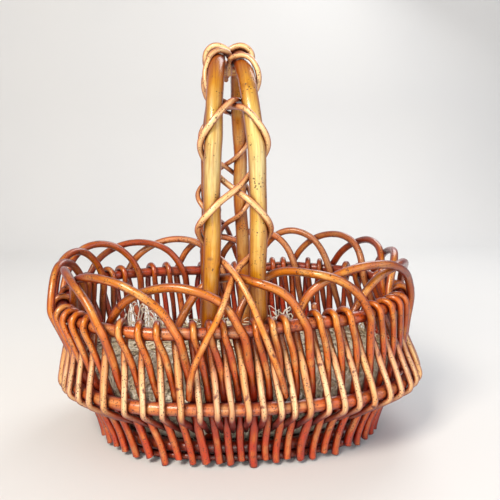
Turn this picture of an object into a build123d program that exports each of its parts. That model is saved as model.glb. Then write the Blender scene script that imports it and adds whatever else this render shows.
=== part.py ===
from build123d import *
import os
from math import copysign, cos, floor, hypot, pi, radians, sin, tau

# Oval bent willow basket with a tall double handle: hoops, hairpin wall rods, floor rods, handle and lacing.
# X runs along the basket, -Y is its front and Z is up, from the floor below the middle of the belly hoop

# Ovals that the hoops follow, measured between the hoops' centrelines
rim_length = 394.0
rim_width = 264.0
rim_height = 158.0
rim_shift = -6.4
belly_length = 402.0
belly_shift = 4.1
belly_width = 283.0
belly_height = 74.0
base_length = 308.0
base_width = 216.0
base_shift = 1.6
squareness = 2.45
evenness_share = 0.1
# How much the hand-bent rim rises or sags, from the right end round the back, left end and front
rim_rise_shares = [0.02, 0.04, 0.045, 0.0, 0.02, 0.025, -0.02, -0.045, -0.055, -0.04, -0.005, 0.015]

# Thicknesses of the hoops
rim_hoop_size = 13.0
belly_hoop_size = 14.0
base_hoop_size = 13.0
foot_hoop_size = 10.0
foot_hoop_tip_size = 7.0

# Wall rods: each one is a hairpin over the rim, thickest at its outer foot
hook_foot_size = 7.0
hook_top_size = 6.3
hook_tip_size = 5.0
arch_foot_size = 9.0
arch_top_size = 8.6
arch_tip_size = 5.2
arch_rise = 50.0
arch_fullness = 0.8
spring_drop = 26.0
tip_height = 36.0
# Outer feet end at the floor or a little above it, none quite like the next
foot_end_height = 4.0
foot_end_shares = [0.5, 1.3, 0.0, 1.6, 0.7, 1.1, 0.9]
fit_gap = 0.4
tuck_gap = 1.5

# Where each arch's outer foot stands, as a share of one turn from the right end
arch_turn_shares = [
    0.0, 0.055, 0.111, 0.156, 0.2, 0.255, 0.309, 0.367, 0.419,
    0.461, 0.498, 0.539, 0.617, 0.684, 0.745, 0.8045, 0.865, 0.944,
]
arch_rise_shares = [
    0.86, 0.92, 0.96, 1.0, 1.02, 1.1, 1.0, 0.92, 0.86,
    0.94, 0.98, 0.9, 0.98, 1.04, 0.94, 1.02, 1.04, 1.06,
]
# Hooks between one arch's outer foot and the next, as shares of that bay
two_hooks_shares = [0.36, 0.68]
three_hooks_shares = [0.28, 0.52, 0.76]
bay_hooks_shares = [
    two_hooks_shares, two_hooks_shares, two_hooks_shares, two_hooks_shares, two_hooks_shares,
    [0.295, 0.535], two_hooks_shares, two_hooks_shares, [0.37, 0.66], [0.54],
    [0.52], [0.23, 0.42, 0.61, 0.8], three_hooks_shares, [0.263, 0.532, 0.75], [0.265, 0.54, 0.755],
    three_hooks_shares, [0.21, 0.41, 0.6, 0.8], two_hooks_shares,
]

# Handle: two thick rods bent over from front to back, side by side, drawn together upwards
handle_size = 17.6
handle_height = 439.0
handle_shift = -10.9
handle_foot_spread = 54.5
handle_top_spread = 25.6
handle_inset = 22.5
handle_foot_inset = 20.0

# Floor
foot_hoop_height = foot_hoop_size / 2
floor_rod_size = 8.0
cross_rod_size = 10.0
cross_rod_height = foot_hoop_height
cross_rod_pitch = 95.0
cross_rod_overhang = 4.0
floor_rod_count = 13

# Filling
fill_height = 90.0
fill_corners = 28
fill_level_shares = [0.0, 0.45, 0.78, 0.91, 0.975, 1.0]
fill_inset_shares = [0.14, 0.155, 0.16, 0.22, 0.4, 0.7]


def between(place, places, values):
    """Straight-line reading of a value between known places, level past both ends."""
    if place <= places[0]:
        return values[0]
    for low, high, start, end in zip(places, places[1:], values, values[1:]):
        if place <= high:
            return start + (end - start) * (place - low) / (high - low)
    return values[-1]


base_height = foot_hoop_height + foot_hoop_size / 2 + fit_gap + base_hoop_size / 2
floor_height = cross_rod_height + (cross_rod_size + floor_rod_size) / 2 + fit_gap
floor_top = floor_height + floor_rod_size / 2 + fit_gap
levels = [base_height, belly_height, rim_height]


def wall_point(turn, height, out=0.0):
    """Point on the oval wall at a share of one turn and a height, moved out square to the wall."""
    half_length = between(height, levels, [base_length, belly_length, rim_length]) / 2
    half_width = between(height, levels, [base_width, belly_width, rim_width]) / 2
    shift = between(height, levels, [base_shift, belly_shift, rim_shift])
    angle = tau * turn + evenness_share * sin(2 * tau * turn)
    reach = (abs(cos(angle)) ** squareness + abs(sin(angle)) ** squareness) ** (-1 / squareness)
    east = cos(angle) * reach
    north = sin(angle) * reach
    lean_x = copysign(abs(east) ** (squareness - 1), east) / half_length
    lean_y = copysign(abs(north) ** (squareness - 1), north) / half_width
    lean = hypot(lean_x, lean_y)
    return Vector(
        shift + half_length * east + out * lean_x / lean,
        half_width * north + out * lean_y / lean,
        height,
    )


def base_reach(place, length, width):
    """How far an oval of the base's shape reaches at a distance from its long axis."""
    return length / 2 * (1 - abs(2 * place / width) ** squareness) ** (1 / squareness)


def rim_level(turn):
    """Height of the rim hoop's centreline, easing from one table value to the next."""
    place = (turn % 1.0) * len(rim_rise_shares)
    step = floor(place)
    ease = (1 - cos(pi * (place - step))) / 2
    start = rim_rise_shares[step % len(rim_rise_shares)]
    end = rim_rise_shares[(step + 1) % len(rim_rise_shares)]
    return rim_height * (1 + start + (end - start) * ease)


# Stations: an arch station holds one arch's outer foot and the inner foot of the arch two further on
def bay_span(bay):
    """Turn shares where a bay starts and ends."""
    start = arch_turn_shares[bay]
    end = arch_turn_shares[bay + 1] if bay + 1 < len(arch_turn_shares) else 1.0 + arch_turn_shares[0]
    return start, end


stations = []
for bay in range(len(arch_turn_shares)):
    start, end = bay_span(bay)
    stations.append(start)
    stations += [start + (end - start) * share for share in bay_hooks_shares[bay]]
stations_per_bay = [1 + len(shares) for shares in bay_hooks_shares]


def station_index(bay, place=0):
    """Index of a station, counted from its bay's arch foot."""
    return sum(stations_per_bay[: bay % len(stations_per_bay)]) + place


def pitch_after(index):
    """Turn share from a station to the next one."""
    following = stations[index + 1] if index + 1 < len(stations) else 1.0 + stations[0]
    return following - stations[index]


# Angles, up from straight out, where an inner leg bends round the belly hoop
belly_wrap_angles = [-50, -13, 24]
# Angles, up from straight out, where a rod folds over the rim hoop
fold_angles = [205, 162, 119, 76, 33, -10]
# An outer leg's room at the belly and base hoops, as a share of its least room
leg_room_share = 1.05
# Sideways places of the two legs at a station, as shares of the pitch after it
inner_tip_share = 0.12
outer_rim_share = 0.2
outer_low_share = 0.52
outer_foot_share = 0.8


def corner_room(angles):
    """How much further out a bend's corners stand than a smooth bend that clears the same round."""
    widest = max(abs(after - before) for before, after in zip(angles, angles[1:]))
    return 1 / cos(radians(widest / 2))


belly_room = corner_room(belly_wrap_angles)
fold_room = corner_room(fold_angles)


def round_hoop(turn, height, reach, angle):
    """Point beside a hoop's centreline, at an angle up from straight out."""
    return wall_point(turn, height, reach * cos(radians(angle))) + Vector(0, 0, reach * sin(radians(angle)))


def spring_point(turn, belly_out, rim_out):
    """Point where a leg leaves the plain wall below the rim, between its belly and rim places."""
    height = rim_level(turn) - spring_drop
    return wall_point(turn, height, between(height, [belly_height, rim_level(turn)], [belly_out, rim_out]))


def inner_leg(index, top_size, tip_size):
    """Inner leg from its tip up to the springing: inside the base, outside the belly hoop."""
    turn = stations[index]
    tip_turn = turn + inner_tip_share * pitch_after(index)
    middle_size = (top_size + tip_size) / 2
    reach = (belly_hoop_size + middle_size) / 2 + fit_gap
    tip_out = -(base_hoop_size + tip_size) / 2 - fit_gap
    legs = [(wall_point(tip_turn, tip_height, tip_out), tip_size)]
    for angle in belly_wrap_angles:
        legs.append((round_hoop(turn, belly_height, reach * belly_room, angle), middle_size))
    legs.append((spring_point(turn, reach, -(rim_hoop_size + top_size) / 2 - fit_gap), top_size))
    return legs


def outer_leg(index, top_size, foot_size):
    """Outer leg from the springing down: inside the belly hoop, outside the base hoop, cut at its end."""
    turn = stations[index]
    pitch = pitch_after(index)
    low_turn = turn + outer_low_share * pitch
    foot_turn = turn + outer_foot_share * pitch
    base_turn = (low_turn + foot_turn) / 2
    middle_size = (top_size + foot_size) / 2
    belly_out = -(belly_hoop_size + middle_size) / 2 - fit_gap
    base_out = (base_hoop_size + foot_size) / 2 + fit_gap
    end_height = foot_end_height * foot_end_shares[index % len(foot_end_shares)]
    return [
        (spring_point(low_turn, belly_out, (rim_hoop_size + top_size) / 2 + fit_gap), top_size),
        (wall_point(low_turn, belly_height, belly_out * leg_room_share), middle_size),
        (wall_point(base_turn, base_height, base_out * leg_room_share), foot_size),
        (wall_point(foot_turn, end_height, base_out * leg_room_share), foot_size),
    ]


def hook_route(index):
    """Centreline points and sizes of a short hairpin folded tightly over the rim hoop."""
    turn = stations[index]
    across = outer_rim_share * pitch_after(index)
    bend = (rim_hoop_size + hook_top_size) / 2 + fit_gap
    over = []
    for angle in fold_angles:
        side = turn + across * (1 + cos(radians(angle))) / 2
        over.append((round_hoop(side, rim_level(side), bend * fold_room, angle), hook_top_size))
    inner = inner_leg(index, hook_top_size, hook_tip_size)
    outer = outer_leg(index, hook_top_size, hook_foot_size)
    return inner + over + outer


# Angles of an arch's points from the inner springing over the crown to the outer one
arch_angles = [22, 38, 55, 72, 90, 108, 126, 143, 160]
arch_reach_share = 1.12
# Arches that pass behind a handle rod: number, and where along the arch the rod stands
tucked_arches_shares = {15: 0.24, 16: 0.24}
tuck_flat_share = 0.11
tuck_end_share = 0.4


def arch_route(number):
    """Centreline points and sizes of a tall arch from the station two bays back to its own station."""
    first = station_index((number - 2) % len(arch_turn_shares))
    last = station_index(number)
    inner = inner_leg(first, arch_top_size, arch_tip_size)
    outer = outer_leg(last, arch_top_size, arch_foot_size)
    start = stations[first]
    end = stations[last] + outer_low_share * pitch_after(last)
    if end < start:
        end += 1.0
    reach = arch_reach_share * (rim_hoop_size + arch_top_size) / 2
    rise = arch_rise * arch_rise_shares[number] + spring_drop
    tuck = -handle_inset - (handle_size + arch_top_size) / 2 - tuck_gap
    bend = (rim_hoop_size + arch_top_size) / 2 + fit_gap
    over = [(round_hoop(start, rim_level(start), bend * fold_room, fold_angles[0]), arch_top_size)]
    for angle in arch_angles:
        along = (1 - cos(radians(angle))) / 2
        turn = start + (end - start) * along
        out = -reach * cos(radians(angle)) / cos(radians(arch_angles[0]))
        if number in tucked_arches_shares:
            away = abs(along - tucked_arches_shares[number])
            out += (tuck - out) * between(away, [tuck_flat_share, tuck_end_share], [1.0, 0.0])
        height = rim_level(turn) - spring_drop + rise * sin(radians(angle)) ** arch_fullness
        over.append((wall_point(turn, height, out), arch_top_size))
    over.append((round_hoop(end, rim_level(end), bend * fold_room, fold_angles[-1]), arch_top_size))
    return inner + over + outer


# The handle's bow, seen from its end
bow_radius = rim_width / 2 - handle_inset
bow_shoulder = handle_height - handle_size / 2 - bow_radius
shoulder_spread_share = 0.8
bow_corners = 16


def handle_spread(height):
    """Distance between the two handle rods' centrelines at a height."""
    top = handle_height - handle_size / 2
    spreads = [handle_foot_spread, shoulder_spread_share * handle_foot_spread, handle_top_spread]
    return between(height, [rim_height, bow_shoulder, top], spreads)


def handle_route(side):
    """Centreline of one handle rod: a foot inside the floor, a straight leg, a half round and down again."""
    foot_reach = base_width / 2 - handle_foot_inset
    profile = [(-foot_reach, floor_top), (-bow_radius, belly_height), (-bow_radius, bow_shoulder)]
    for step in range(1, bow_corners):
        angle = pi - pi * step / bow_corners
        profile.append((bow_radius * cos(angle), bow_shoulder + bow_radius * sin(angle)))
    profile += [(-y, z) for y, z in reversed(profile[:3])]
    return [(Vector(handle_shift + side * handle_spread(z) / 2, y, z), handle_size) for y, z in profile]


# Lacing: thin rods that rise outside the wall, cross, and wind up round the handle rods
lacing_size = 6.0
lacing_end_size = 5.0
lacing_wrap_angles = [50, 92, 134, 180, 226, 268, 310]
# Heights where the two rods of one face cross, as shares of the handle's height
front_cross_shares = [0.479, 0.661, 0.86]
back_cross_shares = [0.52, 0.7, 0.874]
# How far inside the handle rods' centrelines each rod crosses, as shares of its reach round them
right_depth_shares = [-1.45, -0.47, 0.48]
left_depth_shares = [-0.45, 0.47, -0.48]
# Lower ends: share of a turn, share of the rim's height, and share of the hoops' size outside the wall
front_right_low_shares = [
    (0.7838, 0.55, 0.3), (0.7822, 0.64, 0.82), (0.7797, 0.73, 1.12),
    (0.775, 0.85, 1.4), (0.7688, 1.0, 1.45), (0.76, 1.15, 1.3),
]
front_left_low_shares = [
    (0.6915, 0.55, 0.3), (0.694, 0.64, 0.82), (0.698, 0.73, 1.12),
    (0.7066, 0.85, 1.4), (0.7208, 1.0, 1.5), (0.7312, 1.15, 1.6),
]
back_right_low_shares = [
    (0.2095, 0.55, 0.3), (0.2115, 0.64, 0.82), (0.2145, 0.73, 1.12),
    (0.22, 0.85, 1.4), (0.2285, 1.0, 1.5), (0.2385, 1.16, 1.6), (0.2425, 1.29, 1.5),
]
back_left_low_shares = [
    (0.2965, 0.55, 0.3), (0.2945, 0.64, 0.82), (0.2915, 0.73, 1.12),
    (0.286, 0.85, 1.4), (0.2775, 1.0, 1.5), (0.2675, 1.16, 1.6), (0.262, 1.29, 1.5),
]
# Ends at the handle's top, as travel beyond the last crossing in shares of the bow's radius
right_end_shares = [0.08, 0.15, 0.23, 0.37, 0.51, 0.6, 0.65]
left_end_shares = [0.08, 0.15, 0.22, 0.32, 0.42, 0.5, 0.54]
tail_depth_shares = [-0.45, 0.4, 1.15]
tail_step_share = 0.035


def beside_handle(side, travel, depth, across):
    """Point by the handle: travel up a rod from the floor, depth inside the bow, distance across from it."""
    straight = min(travel, bow_shoulder)
    lean = (travel - straight) / bow_radius
    reach = bow_radius - depth
    spread = handle_spread(straight + bow_radius * sin(lean))
    return Vector(
        handle_shift + side * (spread / 2 - across),
        -reach * cos(lean),
        straight + reach * sin(lean),
    )


def lacing_route(start_side, front):
    """One lacing rod from the wall up to the handle's top; the back's rods mirror the front's."""
    reach = (handle_size + lacing_size) / 2 + fit_gap
    wrap = reach * corner_room(lacing_wrap_angles)
    if front:
        low_shares = front_right_low_shares if start_side > 0 else front_left_low_shares
    else:
        low_shares = back_right_low_shares if start_side > 0 else back_left_low_shares
    depth_shares = right_depth_shares if start_side > 0 else left_depth_shares
    end_shares = right_end_shares if start_side > 0 else left_end_shares
    crossings = front_cross_shares if front else back_cross_shares
    face = 1 if front else -1
    route = []
    for turn, level, out in low_shares:
        point = wall_point(turn, level * rim_height, out * rim_hoop_size)
        route.append(Vector(point.X, face * point.Y, point.Z))
    side = -start_side
    for place, share in enumerate(crossings):
        travel = share * handle_height
        middle = handle_spread(travel) / 2
        route.append(beside_handle(side, travel, depth_shares[place] * reach, middle))
        if place + 1 < len(crossings):
            climb = (crossings[place + 1] - share) * handle_height / (len(lacing_wrap_angles) + 1)
            climbs = [climb * (step + 1) for step in range(len(lacing_wrap_angles))]
        else:
            climbs = [end * bow_radius for end in end_shares]
        for angle, rise in zip(lacing_wrap_angles, climbs):
            depth = wrap * sin(radians(angle))
            across = wrap * cos(radians(angle))
            route.append(beside_handle(side, travel + rise, depth, across))
        side = -side
    last = crossings[-1] * handle_height + end_shares[-1] * bow_radius
    for step, share in enumerate(tail_depth_shares):
        travel = last + (step + 1) * tail_step_share * bow_radius
        route.append(beside_handle(side, travel, share * reach, handle_top_spread / 2))
    count = len(route) - 1
    taper = lacing_end_size - lacing_size
    return [
        (Vector(point.X, face * point.Y, point.Z), lacing_size + taper * step / count)
        for step, point in enumerate(route)
    ]


# Binding round both rods at the top of the handle
binding_turns = 4
binding_gap = 0.6
binding_start_share = 1.31
binding_pitch_share = 0.114
binding_dip_share = 0.55
binding_angles = [300, 255, 210, 165, 120, 75]


def binding_route():
    """Coil round both handle rods over the bow's crown, drawn in between them on the outside."""
    reach = (handle_size + lacing_size) / 2 + binding_gap
    wrap = reach * corner_room(binding_angles)
    left_side = [(-1, angle) for angle in binding_angles]
    right_side = [(1, angle) for angle in reversed(binding_angles)]
    ring = [(0, 0)] + left_side + right_side
    start = bow_shoulder + binding_start_share * bow_radius
    pitch = binding_pitch_share * bow_radius
    route = []
    for step in range(binding_turns * len(ring) + 1):
        side, angle = ring[step % len(ring)]
        travel = start + pitch * step / len(ring)
        if side == 0:
            point = beside_handle(1, travel, -binding_dip_share * reach, handle_top_spread / 2)
        else:
            depth = wrap * sin(radians(angle))
            across = wrap * cos(radians(angle))
            point = beside_handle(side, travel, depth, across)
        route.append((point, lacing_size))
    return route


# Hoops, as rings of straight lengths with a butt joint
hoop_corners = 54
# Flat sides of a rod's section: six for the thin rods, eight for the thick ones whose outline shows
rod_sides = 6
round_sides = 8
rim_joint_turn = 0.2375
belly_joint_turn = 0.2385
base_joint_turn = 0.27
foot_joint_turn = 0.7165
joint_gap_share = 0.0004
foot_opening_share = 0.0078


def hoop_route(height, out, start_size, end_size, joint, opening):
    """Ring of corners round the wall at a height, or along the rim's own level, from end to end."""
    route = []
    for step in range(hoop_corners + 1):
        share = step / hoop_corners
        turn = joint + opening + (1 - 2 * opening) * share
        level = rim_level(turn) if height is None else height
        route.append((wall_point(turn, level, out), start_size + (end_size - start_size) * share))
    return route


def rim_route():
    """Rim hoop."""
    return hoop_route(None, 0, rim_hoop_size, rim_hoop_size, rim_joint_turn, joint_gap_share)


def belly_route():
    """Belly hoop."""
    return hoop_route(belly_height, 0, belly_hoop_size, belly_hoop_size, belly_joint_turn, joint_gap_share)


def base_route():
    """Base hoop."""
    return hoop_route(base_height, 0, base_hoop_size, base_hoop_size, base_joint_turn, joint_gap_share)


def foot_route():
    """Foot hoop below the base hoop, one tapering rod whose ends leave room for a cross rod."""
    return hoop_route(
        foot_hoop_height, 0, foot_hoop_size, foot_hoop_tip_size, foot_joint_turn, foot_opening_share,
    )


# Solids
def rod_solid(route, sides=rod_sides, first_heading=None, last_heading=None):
    """Rod with straight lengths mitred at the bends and flat sides, tapering from one size to the next."""
    points = [point for point, size in route]
    side = None
    with BuildPart() as rod:
        for place, (point, size) in enumerate(route):
            before = (point - points[place - 1] if place else points[1] - point).normalized()
            after = (points[place + 1] - point).normalized() if place + 1 < len(points) else before
            heading = (before + after).normalized()
            if place == 0 and first_heading is not None:
                heading = first_heading
            if place + 1 == len(points) and last_heading is not None:
                heading = last_heading
            if side is None:
                side = Vector(0, 0, 1).cross(heading) if first_heading is None else Vector(1, 0, 0)
            side = (side - heading * side.dot(heading)).normalized()
            with BuildSketch(Plane(origin=point, x_dir=side, z_dir=heading)):
                RegularPolygon(radius=size / 2, side_count=sides, rotation=180 / sides)
        loft(ruled=True)
    return rod.part


down = Vector(0, 0, -1)
os.makedirs("parts", exist_ok=True)

# Wall rods
for number in range(len(arch_turn_shares)):
    arch_rod = rod_solid(arch_route(number), last_heading=down)
    with BuildPart() as arch:
        add(arch_rod)
    arch.part.label = f"arch_{number + 1:02d}"
    export_step(arch.part, f"parts/{arch.part.label}.step")

    bay_rods = [
        rod_solid(hook_route(station_index(number, place + 1)), last_heading=down)
        for place in range(len(bay_hooks_shares[number]))
    ]
    with BuildPart() as hooks_bay:
        add(bay_rods)
    hooks_bay.part.label = f"hooks_bay_{number + 1:02d}"
    export_step(hooks_bay.part, f"parts/{hooks_bay.part.label}.step")

# Hoops
rim_rod = rod_solid(rim_route(), round_sides)
with BuildPart() as rim_hoop:
    add(rim_rod)
rim_hoop.part.label = "rim_hoop"
export_step(rim_hoop.part, "parts/rim_hoop.step")

belly_rod = rod_solid(belly_route(), round_sides)
with BuildPart() as belly_hoop:
    add(belly_rod)
belly_hoop.part.label = "belly_hoop"
export_step(belly_hoop.part, "parts/belly_hoop.step")

base_rod = rod_solid(base_route())
with BuildPart() as base_hoop:
    add(base_rod)
base_hoop.part.label = "base_hoop"
export_step(base_hoop.part, "parts/base_hoop.step")

foot_rod = rod_solid(foot_route())
with BuildPart() as foot_hoop:
    add(foot_rod)
foot_hoop.part.label = "foot_hoop"
export_step(foot_hoop.part, "parts/foot_hoop.step")


# Floor: cross rods from front to back inside the foot hoop, one of them out through its opening
foot_inset = foot_hoop_size / 2 + fit_gap
show_through = wall_point(foot_joint_turn, foot_hoop_height).X
with BuildPart() as base_cross_rods:
    for step in (-1, 0, 1):
        place = show_through + step * cross_rod_pitch
        edge = abs(place - base_shift) + cross_rod_size / 2
        reach = base_reach(edge, base_width - 2 * foot_inset, base_length - 2 * foot_inset) - fit_gap
        front_reach = base_width / 2 + cross_rod_overhang if step == 0 else reach
        with BuildSketch(Plane(origin=(place, reach, cross_rod_height), x_dir=(1, 0, 0), z_dir=(0, -1, 0))):
            RegularPolygon(cross_rod_size / 2, round_sides, major_radius=False, rotation=180 / round_sides)
        extrude(amount=reach + front_reach)
base_cross_rods.part.label = "base_cross_rods"
export_step(base_cross_rods.part, "parts/base_cross_rods.step")

# Floor rods side by side on the cross rods, inside the base hoop
floor_inset = base_hoop_size / 2 + fit_gap
floor_pitch = (base_width - 2 * floor_inset - floor_rod_size) / floor_rod_count
with BuildPart() as floor_rods:
    for step in range(floor_rod_count):
        place = (step - (floor_rod_count - 1) / 2) * floor_pitch
        edge = abs(place) + floor_rod_size / 2
        reach = base_reach(edge, base_length - 2 * floor_inset, base_width - 2 * floor_inset) - fit_gap
        start = (base_shift - reach, place, floor_height)
        with BuildSketch(Plane(origin=start, x_dir=(0, 1, 0), z_dir=(1, 0, 0))):
            RegularPolygon(floor_rod_size / 2, round_sides, major_radius=False, rotation=180 / round_sides)
        extrude(amount=2 * reach)
floor_rods.part.label = "floor_rods"
export_step(floor_rods.part, "parts/floor_rods.step")

# Handle
left_rod = rod_solid(handle_route(-1), round_sides, -down, down)
with BuildPart() as handle_rod_left:
    add(left_rod)
handle_rod_left.part.label = "handle_rod_left"
export_step(handle_rod_left.part, "parts/handle_rod_left.step")

right_rod = rod_solid(handle_route(1), round_sides, -down, down)
with BuildPart() as handle_rod_right:
    add(right_rod)
handle_rod_right.part.label = "handle_rod_right"
export_step(handle_rod_right.part, "parts/handle_rod_right.step")

# Lacing and binding
front_left_rod = rod_solid(lacing_route(-1, True))
with BuildPart() as front_lacing_left:
    add(front_left_rod)
front_lacing_left.part.label = "front_lacing_left"
export_step(front_lacing_left.part, "parts/front_lacing_left.step")

front_right_rod = rod_solid(lacing_route(1, True))
with BuildPart() as front_lacing_right:
    add(front_right_rod)
front_lacing_right.part.label = "front_lacing_right"
export_step(front_lacing_right.part, "parts/front_lacing_right.step")

back_left_rod = rod_solid(lacing_route(-1, False))
with BuildPart() as back_lacing_left:
    add(back_left_rod)
back_lacing_left.part.label = "back_lacing_left"
export_step(back_lacing_left.part, "parts/back_lacing_left.step")

back_right_rod = rod_solid(lacing_route(1, False))
with BuildPart() as back_lacing_right:
    add(back_right_rod)
back_lacing_right.part.label = "back_lacing_right"
export_step(back_lacing_right.part, "parts/back_lacing_right.step")

binding_rod = rod_solid(binding_route())
with BuildPart() as handle_top_binding:
    add(binding_rod)
handle_top_binding.part.label = "handle_top_binding"
export_step(handle_top_binding.part, "parts/handle_top_binding.step")

# Filling: a soft mound on the floor rods that closes in round the handle rods
fill_levels = [floor_top + (fill_height - floor_top) * share for share in fill_level_shares]
groove = 2 * fit_gap
with BuildPart() as shredded_fill:
    for level, inset in zip(fill_levels, fill_inset_shares):
        outline = [
            wall_point(step / fill_corners, level, -inset * base_width / 2) for step in range(fill_corners)
        ]
        with BuildSketch(Plane.XY.offset(level)):
            Polygon(*[(point.X, point.Y) for point in outline], align=None)
    loft(ruled=True)
    for side in (-1, 1):
        rod = [(point, size + groove) for point, size in handle_route(side)]
        for end, next_to_end in ((0, 1), (-1, -2)):
            out_of_fill = (rod[end][0] - rod[next_to_end][0]).normalized() * floor_rod_size
            rod[end] = (rod[end][0] + out_of_fill, rod[end][1])
        add(rod_solid(rod, round_sides, -down, down), mode=Mode.SUBTRACT)
shredded_fill.part.label = "shredded_fill"
export_step(shredded_fill.part, "parts/shredded_fill.step")
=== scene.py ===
import math

import bpy
import numpy as np
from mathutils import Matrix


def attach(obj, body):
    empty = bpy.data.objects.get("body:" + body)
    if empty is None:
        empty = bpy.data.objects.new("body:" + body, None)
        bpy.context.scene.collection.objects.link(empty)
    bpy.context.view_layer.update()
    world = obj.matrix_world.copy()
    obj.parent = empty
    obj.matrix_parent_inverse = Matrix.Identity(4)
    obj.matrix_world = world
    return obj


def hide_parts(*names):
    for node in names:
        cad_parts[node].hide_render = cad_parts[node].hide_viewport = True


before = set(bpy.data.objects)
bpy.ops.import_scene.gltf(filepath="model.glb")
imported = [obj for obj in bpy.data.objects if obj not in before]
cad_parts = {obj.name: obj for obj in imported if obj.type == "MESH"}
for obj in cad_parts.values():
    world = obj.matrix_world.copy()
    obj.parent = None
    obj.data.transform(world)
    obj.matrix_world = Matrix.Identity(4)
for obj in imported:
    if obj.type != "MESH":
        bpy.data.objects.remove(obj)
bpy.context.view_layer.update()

print("basket: frame loaded,", len(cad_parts), "nodes")

mm = 0.001
fullTurn = 2 * math.pi
random = np.random.default_rng(23)

# the three ovals that the wall follows, in millimetres between the middles of the hoops
wall = {
    "levels": [16.9, 74.0, 158.0],
    "lengths": [308.0, 402.0, 394.0],
    "widths": [216.0, 283.0, 264.0],
    "shifts": [1.6, 4.1, -6.4],
    "squareness": 2.45,
    "evenness": 0.1,
    "rimHeight": 158.0,
    "rimRise": [0.02, 0.04, 0.045, 0.0, 0.02, 0.025, -0.02, -0.045, -0.055, -0.04, -0.005, 0.015],
}


def wallPoint(turn, height, out):
    # superellipse oval: |x/a|^n + |y/b|^n = 1, a and b read between the levels, then moved out along its normal
    turn, height, out = np.broadcast_arrays(*[np.asarray(value, float) for value in (turn, height, out)])
    a = np.interp(height, wall["levels"], wall["lengths"]) / 2
    b = np.interp(height, wall["levels"], wall["widths"]) / 2
    shift = np.interp(height, wall["levels"], wall["shifts"])
    angle = fullTurn * turn + wall["evenness"] * np.sin(2 * fullTurn * turn)
    n = wall["squareness"]
    reach = (np.abs(np.cos(angle)) ** n + np.abs(np.sin(angle)) ** n) ** (-1 / n)
    east, north = np.cos(angle) * reach, np.sin(angle) * reach
    leanX = np.sign(east) * np.abs(east) ** (n - 1) / a
    leanY = np.sign(north) * np.abs(north) ** (n - 1) / b
    lean = np.hypot(leanX, leanY)
    return np.stack([shift + a * east + out * leanX / lean, b * north + out * leanY / lean, height], -1)


def rimLevel(turn):
    # cosine easing from one entry of the rise table to the next
    rise = np.array(wall["rimRise"])
    spot = (np.asarray(turn, float) % 1.0) * len(rise)
    step = np.floor(spot).astype(int)
    ease = (1 - np.cos(np.pi * (spot - step))) / 2
    start, end = rise[step % len(rise)], rise[(step + 1) % len(rise)]
    return wall["rimHeight"] * (1 + start + (end - start) * ease)


# wall rods: each one is a hairpin over the rim, its sizes in millimetres as tip, top and foot; hooks stand at shares
# of their bay, and the legs lean by shares of the distance to the next rod
stakes = {
    "archTurns": [0.0, 0.055, 0.111, 0.156, 0.2, 0.255, 0.309, 0.367, 0.419,
                  0.461, 0.498, 0.539, 0.617, 0.684, 0.745, 0.8045, 0.865, 0.944],
    "archRises": [0.86, 0.92, 0.96, 1.0, 1.02, 1.1, 1.0, 0.92, 0.86,
                  0.94, 0.98, 0.9, 0.98, 1.04, 0.94, 1.02, 1.04, 1.06],
    "hooks": [[0.36, 0.68]] * 5 + [[0.295, 0.535]] + [[0.36, 0.68]] * 2 + [[0.37, 0.66], [0.54], [0.52]]
    + [[0.23, 0.42, 0.61, 0.8], [0.28, 0.52, 0.76], [0.263, 0.532, 0.75], [0.265, 0.54, 0.755]]
    + [[0.28, 0.52, 0.76], [0.21, 0.41, 0.6, 0.8], [0.36, 0.68]],
    "hookSizes": (5.0, 6.3, 7.0),
    "archSizes": (5.2, 8.6, 9.0),
    "archRise": 50.0,
    "archFullness": 0.8,
    "archAngles": [22, 38, 55, 72, 90, 108, 126, 143, 160],
    "archReach": 1.12,
    "springDrop": 26.0,
    "tipHeight": 36.0,
    "footEnd": 4.0,
    "footEnds": [0.5, 1.3, 0.0, 1.6, 0.7, 1.1, 0.9],
    "legRoom": 1.05,
    "gap": 0.4,
    "tuckGap": 1.5,
    "tucked": {15: 0.24, 16: 0.24},
    "tuckAway": [0.11, 0.4],
    "foldAngles": [205, 162, 119, 76, 33, -10],
    "foldStep": 43.0,
    "wrapAngles": [-50, -13, 24],
    "wrapStep": 37.0,
    "leans": {"tip": 0.12, "over": 0.2, "low": 0.52, "foot": 0.8},
}
hoops = {"rim": 13.0, "belly": 14.0, "base": 13.0, "foot": 10.0, "footTip": 7.0, "footHeight": 5.0}
handle = {
    "size": 17.6, "height": 439.0, "shift": -10.9, "footSpread": 54.5, "topSpread": 25.6,
    "inset": 22.5, "footInset": 20.0, "footHeight": 18.8, "shoulderShare": 0.8, "corners": 16,
}

bayCount = len(stakes["archTurns"])
bayStarts, stations = [], []
for bay in range(bayCount):
    begin = stakes["archTurns"][bay]
    finish = stakes["archTurns"][bay + 1] if bay + 1 < bayCount else 1.0
    bayStarts.append(len(stations))
    stations += [begin] + [begin + (finish - begin) * share for share in stakes["hooks"][bay]]
stations = np.array(stations)
pitches = np.diff(np.append(stations, 1.0))


def clearance(first, second, gap=stakes["gap"]):
    # from the middle of one rod to that of another that passes it
    return (first + second) / 2 + gap


def cornerReach(reach, step):
    # corners stand further out than the smooth line that rounds them: reach / cos(half the step between them)
    return reach / math.cos(math.radians(step / 2))


def roundHoop(turn, height, reach, degrees):
    # point beside a hoop, at an angle up from straight out
    bend = np.radians(degrees)
    return wallPoint(turn, height + reach * np.sin(bend), 0) * [0, 0, 1] + wallPoint(
        turn, height, reach * np.cos(bend)) * [1, 1, 0]


def springPoint(turn, bellyOut, rimOut):
    # where a leg leaves the plain wall below the rim
    height = rimLevel(turn) - stakes["springDrop"]
    share = (height - wall["levels"][1]) / (rimLevel(turn) - wall["levels"][1])
    return wallPoint(turn, height, bellyOut + (rimOut - bellyOut) * share)


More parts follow.
